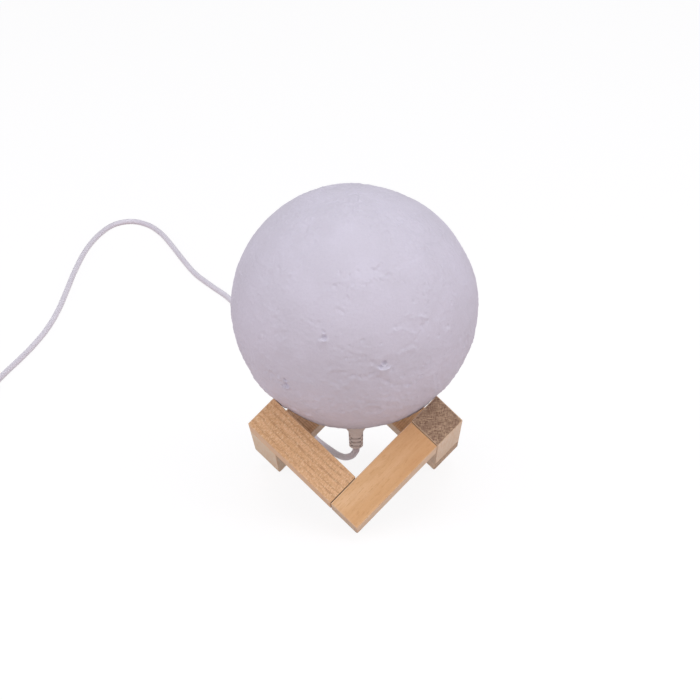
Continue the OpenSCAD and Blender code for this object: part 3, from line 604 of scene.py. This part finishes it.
def cord_route(relief_end):
    """The whole cord from the plug to the USB plug, in millimetres."""
    whole = COIL_TURNS * 360
    steps = int(COIL_TURNS * COIL_POINTS)
    coil = [coil_point(i * whole / steps) for i in range(steps + 1)]
    way_in = (coil_point(0) - coil_point(1)).normalized()
    way_out = (coil_point(whole) - coil_point(whole - 1)).normalized()
    run_end = coil[0] + CORD_D * way_in
    straight_out = [(0, 0, relief_end - 1), (0, 0, relief_end - 2.2)]
    run = smooth_line(straight_out + ROUTE + [run_end + 3 * CORD_D * way_in], ROUTE_POINTS)
    tail_start = coil[-1] + CORD_D * way_out
    x, y, z = tail_start
    tail = smooth_line([tail_start + 3 * way_out, (x - 0.4, y + 10, z - 1.6),
                        (USB_X + 0.8, y + 18, USB_Z + 1), (USB_X, y + 25, USB_Z),
                        (USB_X, USB_Y - 2, USB_Z)], ROUTE_POINTS)
    return ([Vector((0, 0, relief_end - 0.05))] + run + [run_end + CORD_D * way_in, run_end]
            + [coil[0] + CORD_D / 2 * way_in] + coil + [coil[-1] + CORD_D / 2 * way_out, tail_start]
            + tail + [Vector((USB_X, USB_Y, USB_Z))])


def round_corners(corners, radius, steps):
    """Open line through corners of a rectangle, each turned into an arc."""
    line = [Vector(corners[0])]
    for a, b, c in zip(corners, corners[1:], corners[2:]):
        a, b, c = Vector(a), Vector(b), Vector(c)
        back, on = (a - b).normalized(), (c - b).normalized()
        middle = b + radius * (back + on)
        for k in range(steps + 1):
            t = math.pi / 2 * k / steps
            line.append(middle - radius * (math.sin(t) * back + math.cos(t) * on))
    return line + [Vector(corners[-1])]


def add_strap(material):
    """Hook-and-loop strap round the coil: one strip that closes on itself, with a rounded free end."""
    low, high = [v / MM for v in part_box("cord_tie")]
    width, half = high.x - low.x, STRAP_T / 2
    x = (low.x + high.x) / 2
    inner_top, outer_top = high.z - 3 * half, high.z - half
    corners = [(x, high.y - 5 * half, inner_top), (x, low.y + half, inner_top),
               (x, low.y + half, low.z + half), (x, high.y - half, low.z + half),
               (x, high.y - half, outer_top), (x, low.y + STRAP_SHORT, outer_top)]
    line = round_corners(corners, STRAP_BEND, 6)
    end = [line[-1] + (line[-2] - line[-1]).normalized() * d for d in (STRAP_TIP, 1.2, 0.5, 0.1, 0)]
    line = line[:-1] + end
    last = len(line) - 1
    verts = []
    for i, point in enumerate(line):
        ahead = (line[min(i + 1, last)] - line[max(i - 1, 0)]).normalized()
        out = ahead.cross(Vector((1, 0, 0)))
        left = (line[-1] - point).length if i > last - len(end) else STRAP_TIP
        reach = width / 2 - STRAP_TIP + math.sqrt(max(STRAP_TIP ** 2 - (STRAP_TIP - left) ** 2, 0.01))
        for side, thick in STRAP_SECTION:
            edge = (reach - STRAP_ROUND * (1 - abs(thick))) * side
            verts.append(point + Vector((edge, 0, 0)) + half * STRAP_FILL * thick * out)
    faces = tube_faces(last, len(STRAP_SECTION))
    strap = mesh_object("coil_strap", [v * MM for v in verts], faces, material)
    strap.data.set_sharp_from_angle(angle=math.radians(STRAP_CREASE))
    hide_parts("cord_tie")
    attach(strap, "stand")
    return strap


def add_cord(material, strap):
    relief_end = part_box("plug_relief")[0].z / MM
    path = [p * MM for p in cord_route(relief_end)]
    cord = tube("charging_cord", path, CORD_D * MM, CORD_SIDES, material)
    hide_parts("cord_run", "cord_coil", "cord_tail")
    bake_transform(cord)


# ---------- the ball's relief ----------
# Places are (longitude, latitude) on the ball in degrees; longitude -90 faces the photograph's camera.
MOON_R, SHELL_T, HOLE_R, NECK_T, LEDGE_R = 75, 2, 19, 4, 13.5
# The neck's ledge, over the lowest point of the housing that stands in it
LEDGE_LOW, LEDGE_TOP = 6.2, 10.2
# Columns and rows of vertices outside, how much closer the columns are in front, and rows inside
COLUMNS, ROWS, CLOSER, INNER_ROWS = 680, 380, 0.4, 60
FRONT = -90
# Degrees above the neck's edge where the relief starts, and over which it grows
PLAIN_RIM, RIM_FADE = 1, 4
# Where the three stick corners carry the ball
CONTACT_LAT = -40.6
# How the ball leans out to one side, is lower on top, and swells all over, in millimetres
LEAN, TOP_DROP, SWELL = 0.45, 1.35, 0.15
# How far its underside sags, and between which heights on the unit ball that starts and is full
SAG, SAG_FROM, SAG_TO = 1.25, 0.67, 0.93
# Large dents and swellings: place, height, and reach in degrees
LUMPS = [(40, 62, -1.1, 22), (3, 12, 0.4, 12), (9, 28, -0.5, 14), (-78, -64, -0.7, 14)]
# A shallow step at the lower left, and the degrees over which it rises
STEP, STEP_RUN = (-156, -40, 0.8, 12), 2.5
# Shallow craters: place, radius and depth; lower rims of two deep ones: place, half width and height
RINGS = [(-116.3, 60.5, 2.7, 0.25), (-107.2, 58.3, 1.3, 0.15), (-71.6, 35.1, 2.4, 0.25)]
LIPS = [(-103.8, 5.6, 3.2, 1.1), (-76.4, -8.3, 4.2, 1.9)]
LIP_RISE, LIP_RUN = 1.5, 4
# Pinholes: place, radius and depth; bumps: place, radius and height, in millimetres
HOLES = [
    (-103.3, 7.0, 1.4, 1.5), (-105.0, 6.4, 0.8, 0.5), (-103.4, 9.4, 0.8, 0.8), (-104.2, 10.1, 0.6, 0.4),
    (-76.2, -6.0, 1.45, 1.6), (-77.8, -7.3, 1.1, 0.9), (-125.7, -22.1, 1.6, 1.9),
    (-128.2, -23.4, 1.2, 1), (-125.2, -18.6, 1, 1.2), (-97.5, 36.3, 0.85, 0.6),
    (-94.9, 33.8, 0.75, 0.45), (-91.7, 35.4, 0.7, 0.35), (-90.3, 36.2, 0.7, 0.25),
    (-87.5, 37.4, 0.8, 0.35), (-78.5, 37.4, 0.95, 0.55), (-76.2, 36.9, 0.95, 0.7),
    (-75.2, 38.2, 0.7, 0.35), (-73.4, 35.5, 0.7, 0.4), (-71.9, 33.9, 0.8, 0.5), (-69.7, 34.1, 0.9, 0.6),
    (-64.9, 37.3, 0.9, 0.45), (-52.1, 38.7, 0.9, 0.45), (-51.0, 33.0, 0.7, 0.45), (-41.1, 45.6, 0.6, 0.5),
    (-75.5, 32.3, 0.65, 0.5), (-73.8, 31.4, 0.7, 0.5), (-104.8, 30.7, 0.7, 0.4),
    (-102.4, 31.1, 0.8, 0.45),
    (-99.7, 30.7, 0.95, 0.65), (-97.1, 31.2, 0.7, 0.4), (-92.7, 25.1, 0.9, 0.5), (-53.5, 21.8, 0.9, 0.45),
    (-56.7, 23.1, 0.7, 0.35), (-60.0, 20.4, 0.9, 0.5), (-123.9, 40.6, 0.7, 0.4), (-124.7, 27.7, 0.9, 0.4),
    (-85.8, 6.0, 0.9, 0.55), (-77.8, 3.9, 0.65, 0.5), (-92.1, 3.6, 0.6, 0.35), (-70.9, 10.9, 1, 0.55),
    (-54.4, 10.1, 0.75, 0.6), (-57.5, 8.9, 1.1, 0.7), (-56.8, 7.5, 0.7, 0.45), (-54.7, 13.5, 0.8, 0.4),
    (-48.3, 1.7, 0.85, 0.7), (-42.0, 4.5, 0.8, 0.6), (-38.0, -8.7, 0.6, 0.5), (-127.8, 15.8, 0.65, 0.45),
    (-122.0, 6.8, 0.8, 0.4), (-94.4, 21.7, 0.7, 0.45), (-94.7, 18.6, 0.8, 0.4), (-81.9, -4.7, 1.2, 0.55),
    (-81.0, -5.8, 0.9, 0.45), (-85.1, -1.7, 0.8, 0.5), (-88.9, -2.6, 0.7, 0.4), (-93.4, -2.6, 0.75, 0.5),
    (-92.0, -4.8, 0.5, 0.3), (-86.7, -7.5, 0.5, 0.3), (-74.6, -15.9, 1, 0.5), (-63.2, -19.9, 1.1, 0.65),
    (-59.8, -18.5, 0.8, 0.4), (-57.4, -16.7, 0.9, 0.35), (-115.0, -14.2, 0.5, 0.4),
    (-100.9, -18.3, 0.5, 0.35), (-116.1, -8.9, 0.7, 0.3), (-102.8, -26.8, 0.5, 0.35),
    (-111.3, -29.9, 1, 0.4), (-132.7, -17.3, 0.8, 0.5)
]
BUMPS = [
    (-128.9, -18.8, 1.6, 0.9), (-71.5, 35.4, 1.2, 0.4), (-62.3, 38.3, 1, 0.3), (-126.5, 25.7, 1.4, 0.45),
    (-115.5, 60.8, 2.2, 0.35), (-107.7, 58.7, 1.3, 0.3), (-105.4, 73.3, 2.2, 0.35),
    (-109.0, 77.9, 1.2, 0.3), (-97.7, 21.7, 1.5, 0.3), (-134.0, -15.2, 1, 0.5), (-77.5, 2.7, 0.6, 0.3),
    (-42.8, 2.8, 1.2, 0.35), (-57.4, 12.8, 1.4, 0.45), (-63.1, 6.7, 1.3, 0.45), (-127.7, -29.9, 1.3, 0.4),
    (-128.5, -27.3, 1, 0.35), (-125.3, -31.7, 1.2, 0.35), (-119.2, -31.0, 1.4, 0.35),
    (-82.2, -6.8, 0.7, 0.35), (-24.1, 50.6, 1.3, 0.45), (-24.6, 48.2, 1.2, 0.4), (-64.7, -22.0, 2.2, 0.3),
    (-94.2, -11.7, 1, 0.3), (-91.5, -14.2, 1, 0.3), (-96.7, -15.4, 1, 0.25)
]
# Creases and ridges: height, half width, and the places that they join
LINES = [
    (-0.35, 0.65, [(-120.3, 40.4), (-120.2, 37.7), (-123.6, 34.6), (-125.1, 32.0), (-126.6, 29.4),
     (-126.5, 27.6)]),
    (-0.25, 0.6, [(-135.8, 35.1), (-131.7, 31.6), (-128.8, 29.9)]),
    (-0.4, 0.8, [(-102.9, 31.1), (-99.7, 30.5), (-96.6, 31.2)]),
    (-0.28, 0.6, [(-92.0, 35.1), (-90.3, 36.2), (-87.5, 37.3), (-84.7, 37.7)]),
    (-0.3, 0.7, [(-79.6, 37.7), (-75.2, 36.6), (-74.8, 38.7), (-72.7, 39.7)]),
    (-0.25, 0.6, [(-80.5, 31.5), (-77.2, 31.9)]),
    (-0.25, 0.6, [(-90.9, 31.7), (-87.3, 31.4), (-83.7, 30.5)]),
    (-0.42, 0.8, [(-92.7, 29.5), (-92.8, 25.1)]),
    (0.4, 0.9, [(-91.4, 27.7), (-90.9, 29.3), (-89.1, 30.3), (-86.5, 30.3), (-84.8, 29.3),
     (-83.2, 29.7), (-82.3, 31.9), (-80.2, 33.2), (-76.4, 33.7), (-72.6, 33.4), (-68.2, 32.6),
     (-66.2, 31.6)]),
    (-0.25, 0.6, [(-63.2, 30.3), (-62.0, 28.5)]),
    (-0.25, 0.6, [(-55.3, 23.7), (-53.3, 25.9), (-50.4, 26.6)]),
    (0.42, 0.9, [(-49.1, 26.1), (-51.2, 22.8), (-52.3, 18.9)]),
    (0.3, 0.7, [(-40.7, 23.8), (-37.4, 26.7)]),
    (-0.28, 0.6, [(-39.4, 45.8), (-37.2, 41.9), (-38.7, 37.0), (-38.1, 32.8), (-37.9, 28.8)]),
    (-0.25, 0.6, [(-35.1, 33.0), (-34.9, 27.9), (-34.4, 22.4)]),
    (0.38, 0.9, [(-72.4, 9.0), (-69.6, 9.1), (-66.6, 9.1), (-64.8, 7.5), (-62.3, 6.8)]),
    (-0.25, 0.7, [(-68.4, 11.7), (-66.3, 12.4), (-64.2, 12.8)]),
    (0.42, 0.9, [(-63.3, 15.6), (-59.9, 13.9), (-55.8, 12.2)]),
    (-0.35, 0.7, [(-54.1, 10.4), (-57.3, 9.1), (-59.2, 5.8), (-60.9, 3.3), (-63.5, 1.9), (-66.5, 0.6)]),
    (0.42, 0.9, [(-68.0, -1.3), (-66.1, -0.7), (-63.1, -0.2)]),
    (0.32, 0.8, [(-129.6, 14.1), (-126.5, 13.4), (-123.4, 11.3)]),
    (0.28, 0.8, [(-129.4, 7.6), (-127.1, 8.8), (-124.8, 8.4)]),
    (-0.28, 0.6, [(-110.7, 14.2), (-108.2, 13.2), (-105.8, 13.7)]),
    (0.25, 0.7, [(-114.2, 14.7), (-110.7, 13.3)]),
    (-0.35, 0.6, [(-96.9, 20.4), (-94.7, 18.6), (-93.3, 19.5)]),
    (-0.26, 0.55, [(-100.6, -10.3), (-96.4, -9.7), (-93.7, -9.2)]),
    (-0.42, 0.7, [(-91.0, -11.1), (-87.4, -11.5), (-84.2, -11.2), (-79.6, -10.1)]),
    (-0.26, 0.55, [(-98.3, 3.8), (-93.5, 0.6), (-89.1, -1.9)]),
    (-0.22, 0.5, [(-94.3, 2.0), (-90.8, -0.2), (-86.4, -1.9)]),
    (0.24, 0.5, [(-94.3, 1.1), (-90.8, -1.1), (-87.3, -2.7)]),
    (-0.25, 0.6, [(-88.2, -4.4), (-84.6, -4.2)]),
    (-0.35, 0.8, [(-79.1, -12.7), (-76.2, -14.7), (-73.6, -16.5)]),
    (-0.3, 0.8, [(-71.5, -17.5), (-67.8, -19.1), (-63.5, -19.9)]),
    (-0.4, 0.8, [(-136.4, -17.2), (-133.1, -17.4), (-130.6, -17.8)]),
    (0.3, 0.8, [(-137.1, -7.3), (-133.4, -9.3)]),
    (-0.3, 0.7, [(-122.6, -26.8), (-119.7, -28.9)]),
    (-0.22, 0.6, [(-40.0, 62.4), (-38.7, 59.7), (-39.6, 55.9)]),
    (-0.3, 0.7, [(-99.5, 81.0), (-94.6, 72.0)]),
    (0.22, 0.6, [(-86.8, 3.8), (-82.3, 1.7)]),
]
# The band of small marks across the front, and half its width
SHORE = [(-104.4, 30.4), (-96.3, 33), (-87, 34), (-77.9, 34.5), (-65.2, 34.6), (-51.5, 36), (-40, 43)]
SHORE_HALF = 4
# Round patches that are smoother, and that are more dimpled: place and reach in degrees
PLAINS = [(-92, 48, 22), (-76, 14, 16), (-114, -8, 14), (-113, 16, 12), (110, 20, 30), (60, -10, 24)]
DIMPLED = [(-150, 42, 28), (-22, 44, 28), (0, 90, 22), (-138, -28, 20), (-62, -36, 14), (170, 0, 40),
           (90, 60, 30), (20, -10, 30)]
# How many small craters lie at random over the ball, and the largest one's radius
SMALL_CRATERS, LARGEST = 900, 6.5
# Strength of the random relief over the height on the unit ball: the print is calm above its middle
CALM = [(-0.85, 0.8), (-0.5, 1.2), (-0.3, 1.35), (-0.05, 0.8), (0.2, 0.5), (0.45, 0.42), (0.67, 0.48),
        (0.9, 0.95)]
# Pinholes deeper than this have steep walls and a clear lip
SHARP = 0.75
# Noise of the random relief: size in millimetres, layers and seed
HILLS = (12, 3, 11)
KNOBS = (4.5, 2, 31)
WAVES = (9, 3, 51)
GRIT = (1.5, 1, 71)
ROUGH_UNDERSIDE = (2.6, 2, 81)
CREASES = (6, 2, 91)
# Degrees over which a patch fades out
PATCH_FADE = 10


def way(lon, lat):
    """Unit vectors at longitudes and latitudes in degrees."""
    lon, lat = np.radians(lon), np.radians(lat)
    return np.stack([np.cos(lat) * np.cos(lon), np.cos(lat) * np.sin(lon), np.sin(lat) + 0 * lon], -1)


def ease(x):
    x = np.clip(x, 0, 1)
    return x * x * (3 - 2 * x)


def value_noise(points, seed):
    """Smooth noise from 0 to 1 on a repeating lattice of random numbers."""
    side = 32
    table = np.random.default_rng(seed).random((side, side, side))
    cell = np.floor(points).astype(int)
    part = ease(points - cell)
    total = 0
    for corner in np.ndindex(2, 2, 2):
        index = (cell + corner) % side
        share = np.prod(np.where(corner, part, 1 - part), -1)
        total = total + share * table[index[..., 0], index[..., 1], index[..., 2]]
    return total


def rough_noise(points, size, layers, seed):
    """Layers of noise at unit vectors, each half as coarse and half as strong as the one before."""
    total = 0
    for k in range(layers):
        place = points * MOON_R * 2 ** k / size + 7.3 * k
        total = total + 0.5 ** k * (2 * value_noise(place, seed + k) - 1)
    return total / 1.6


def off(points, lon, lat):
    """Distance along the ball's surface from a place, in millimetres."""
    return MOON_R * np.arccos(np.clip(points @ way(lon, lat), -1, 1))


def off_line(points, places):
    """Distance from a line of places, and how far a point is below it, in millimetres."""
    ends = [MOON_R * way(*p) for p in places]
    near = np.full(points.shape[:-1], 1e3)
    under = np.zeros(points.shape[:-1])
    for a, b in zip(ends, ends[1:]):
        step = b - a
        t = np.clip((MOON_R * points - a) @ step / (step @ step), 0, 1)
        gap = a + t[..., None] * step - MOON_R * points
        distance = np.linalg.norm(gap, axis=-1)
        under = np.where(distance < near, gap[..., 2], under)
        near = np.minimum(near, distance)
    return near, under


def bowl(distance, radius, depth):
    """A crater: a round floor under a raised rim that fades outward."""
    x = distance / radius
    floor = -depth * (1 - x * x) * (x < 1)
    rim = 0.32 * depth * np.exp(-((x - 1.08) / 0.24) ** 2)
    return floor + rim


def lip(points, lon, lat, half, height):
    """Lower rim of a crater: it steps outward going down, turns up at both ends and runs out below."""
    place, east = way(lon, lat), way(lon + 90, 0.0)
    across = MOON_R * (points @ east) / half
    up = MOON_R * (points @ np.cross(place, east))
    below = 0.6 * across ** 2 - up
    step = ease(below / LIP_RISE + 0.5) * np.exp(-np.maximum(below - LIP_RISE / 2, 0) / LIP_RUN)
    return height * step * np.exp(-across ** 4) * (points @ place > 0)


def inside(points, patches):
    """1 on round patches of the ball and 0 off them, with a soft edge."""
    share = 0
    for lon, lat, reach in patches:
        edge = off(points, lon, lat) / MOON_R - math.radians(reach)
        share = np.maximum(share, ease(0.5 - edge / math.radians(PATCH_FADE)))
    return share


def room(z):
    """How far the relief may rise at a height on the unit ball and clear the sticks at any turn."""
    # Least where the corners touch, and more the further a place is above or below them
    away = np.degrees(np.arcsin(np.clip(z, -1, 1))) - CONTACT_LAT
    return 0.12 + np.where(away > 0, 0.3 * away ** 2, 0.02 * away ** 2 - 0.03 * away)


def out_of_round(points):
    """How far the ball departs from a true one: a lean, a lower top, a sag, a step and lumps."""
    lon, lat, height, reach = STEP
    edge = math.radians(reach) - off(points, lon, lat) / MOON_R
    step = height * ease(edge / math.radians(STEP_RUN))
    form = SWELL + LEAN * points[..., 0] - TOP_DROP * np.maximum(points[..., 2], 0) + step
    form += SAG * ease((-points[..., 2] - SAG_FROM) / (SAG_TO - SAG_FROM))
    for lon, lat, height, reach in LUMPS:
        form += height * np.exp(-(off(points, lon, lat) / MOON_R / math.radians(reach)) ** 2)
    return form


def random_relief(points):
    """Hills, grit, creases and small craters; the number before each noise is its height."""
    bent = points + 0.08 * value_noise(points * 6, 3)[..., None]
    flat, dimpled = inside(bent, PLAINS), inside(bent, DIMPLED)
    high = 1 - 0.8 * flat
    h = high * (0.35 * rough_noise(points, *HILLS) + 0.26 * rough_noise(points, *KNOBS))
    h += 0.10 * rough_noise(points, *WAVES)
    h += (0.02 + 0.12 * high + 0.42 * dimpled) * rough_noise(points, *GRIT)
    h += 0.35 * ease((-0.3 - points[..., 2]) / 0.2) * rough_noise(points, *ROUGH_UNDERSIDE)
    crease = np.exp(-(rough_noise(points, *CREASES) / 0.06) ** 2)
    h -= 0.12 * high * crease * ease((value_noise(points * 9, 92) - 0.42) / 0.2)

    rng = np.random.default_rng(8)
    for _ in range(SMALL_CRATERS):
        z, lon = rng.uniform(-0.96, 1), rng.uniform(-180, 180)
        radius = min(0.9 * (1 - rng.random()) ** -0.55, LARGEST)
        lat = math.degrees(math.asin(z))
        place = way(lon, lat)
        near = points @ place > math.cos(2.2 * radius / MOON_R)
        if near.any():
            share = float(1 - 0.85 * inside(place, PLAINS))
            depth = 0.16 * radius ** 0.6 * rng.uniform(0.5, 1.2) * share
            h[near] += bowl(off(points[near], lon, lat), radius, depth)
    return h


def seen_marks(points):
    """The marks that the photograph shows."""
    h = np.zeros(points.shape[:-1])
    for lon, lat, radius, depth in HOLES:
        x = off(points, lon, lat) / radius
        sharp = depth > SHARP
        h -= depth * (np.exp(-x ** 4) if sharp else np.exp(-(x / 1.15) ** 2))
        under = ease((way(lon, lat)[2] - points[..., 2]) * MOON_R / radius)
        raised = 0.35 if sharp else 0.12
        h += raised * depth * under * np.exp(-((x - 1.5) / 0.35) ** 2)
    for lon, lat, radius, depth in RINGS:
        h += bowl(off(points, lon, lat), radius, depth)
    for place in LIPS:
        h += lip(points, *place)
    for lon, lat, radius, height in BUMPS:
        h += height * np.exp(-(off(points, lon, lat) / radius) ** 2)
    strewn = ease((value_noise(points * 22, 6) - 0.3) / 0.4) - 0.4
    h += 0.35 * strewn * np.exp(-(off_line(points, SHORE)[0] / SHORE_HALF) ** 2)
    broken = 0.3 + 0.9 * ease((value_noise(points * 48, 5) - 0.32) / 0.3)
    for height, half, places in LINES:
        near, under = off_line(points, places)
        h += height * broken * np.exp(-(near / half / (1 + 1.8 * ease(under / half))) ** 2)
    return h


def relief(points):
    """Height of the printed relief at unit vectors, in millimetres."""
    calm = np.interp(points[..., 2], *zip(*CALM))
    form = out_of_round(points) + calm * random_relief(points)
    # Where the random relief is calmer, so are the seen marks, by half as much
    h = form + (1 + calm) / 2 * seen_marks(points)
    return np.minimum(h, room(points[..., 2]))


def add_moon(material):
    """The printed shell: displaced outside, welded round its neck to a plain inside."""
    rim_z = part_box("base_cover")[0].z / MM
    centre = rim_z + math.sqrt(MOON_R ** 2 - HOLE_R ** 2)
    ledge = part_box("base_housing")[0].z / MM
    turn = np.arange(COLUMNS) * 2 * math.pi / COLUMNS
    lon = np.degrees(turn - CLOSER * np.sin(turn)) + FRONT
    low = -math.degrees(math.acos(HOLE_R / MOON_R))
    lat = np.linspace(low, 90, ROWS)[:-1]
    points = way(lon[None, :], lat[:, None])
    h = relief(points) * ease((lat - low - PLAIN_RIM) / RIM_FADE)[:, None]
    outer = points * (MOON_R + h)[..., None] + [0, 0, centre]
    pole = [0, 0, centre + MOON_R + float(relief(way(0.0, 90.0)[None])[0])]

    inner_r, neck_r = MOON_R - SHELL_T, HOLE_R + NECK_T
    ledge_low, ledge_top = ledge + LEDGE_LOW, ledge + LEDGE_TOP
    profile = [(HOLE_R, ledge_low), (LEDGE_R, ledge_low), (LEDGE_R, ledge_top), (neck_r, ledge_top)]
    start = -math.degrees(math.acos(neck_r / inner_r))
    for degrees in np.linspace(start, 90, INNER_ROWS)[:-1]:
        a = math.radians(degrees)
        profile.append((inner_r * math.cos(a), centre + inner_r * math.sin(a)))
    circle = way(lon, np.zeros(COLUMNS))
    rings = [circle * [r, r, 0] + [0, 0, z] for r, z in profile]
    grid = np.concatenate([outer[::-1].reshape(-1, 3)] + rings)
    verts = np.concatenate([grid, [pole, [0, 0, centre + inner_r]]]) * MM
    count = len(grid) // COLUMNS
    outer_pole, inner_pole = len(grid), len(grid) + 1
    faces = []
    for i in range(count - 1):
        a, b = i * COLUMNS, (i + 1) * COLUMNS
        faces += [(a + k, b + k, b + (k + 1) % COLUMNS, a + (k + 1) % COLUMNS) for k in range(COLUMNS)]
    last = (count - 1) * COLUMNS
    faces += [(outer_pole, k, (k + 1) % COLUMNS) for k in range(COLUMNS)]
    faces += [(inner_pole, last + (k + 1) % COLUMNS, last + k) for k in range(COLUMNS)]
    moon = mesh_object("moon_surface", verts.tolist(), faces, material)
    moon.data.set_sharp_from_angle(angle=math.radians(MOON_CREASE))
    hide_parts("moon_shell")
    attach(moon, "moon")


add_camera()
looks = slot_looks()
add_cord(looks["cord_vinyl"], add_strap(looks["strap_fabric"]))
dress(looks, own_looks())
add_moon(looks["moon_print"])
add_stage()
add_light()
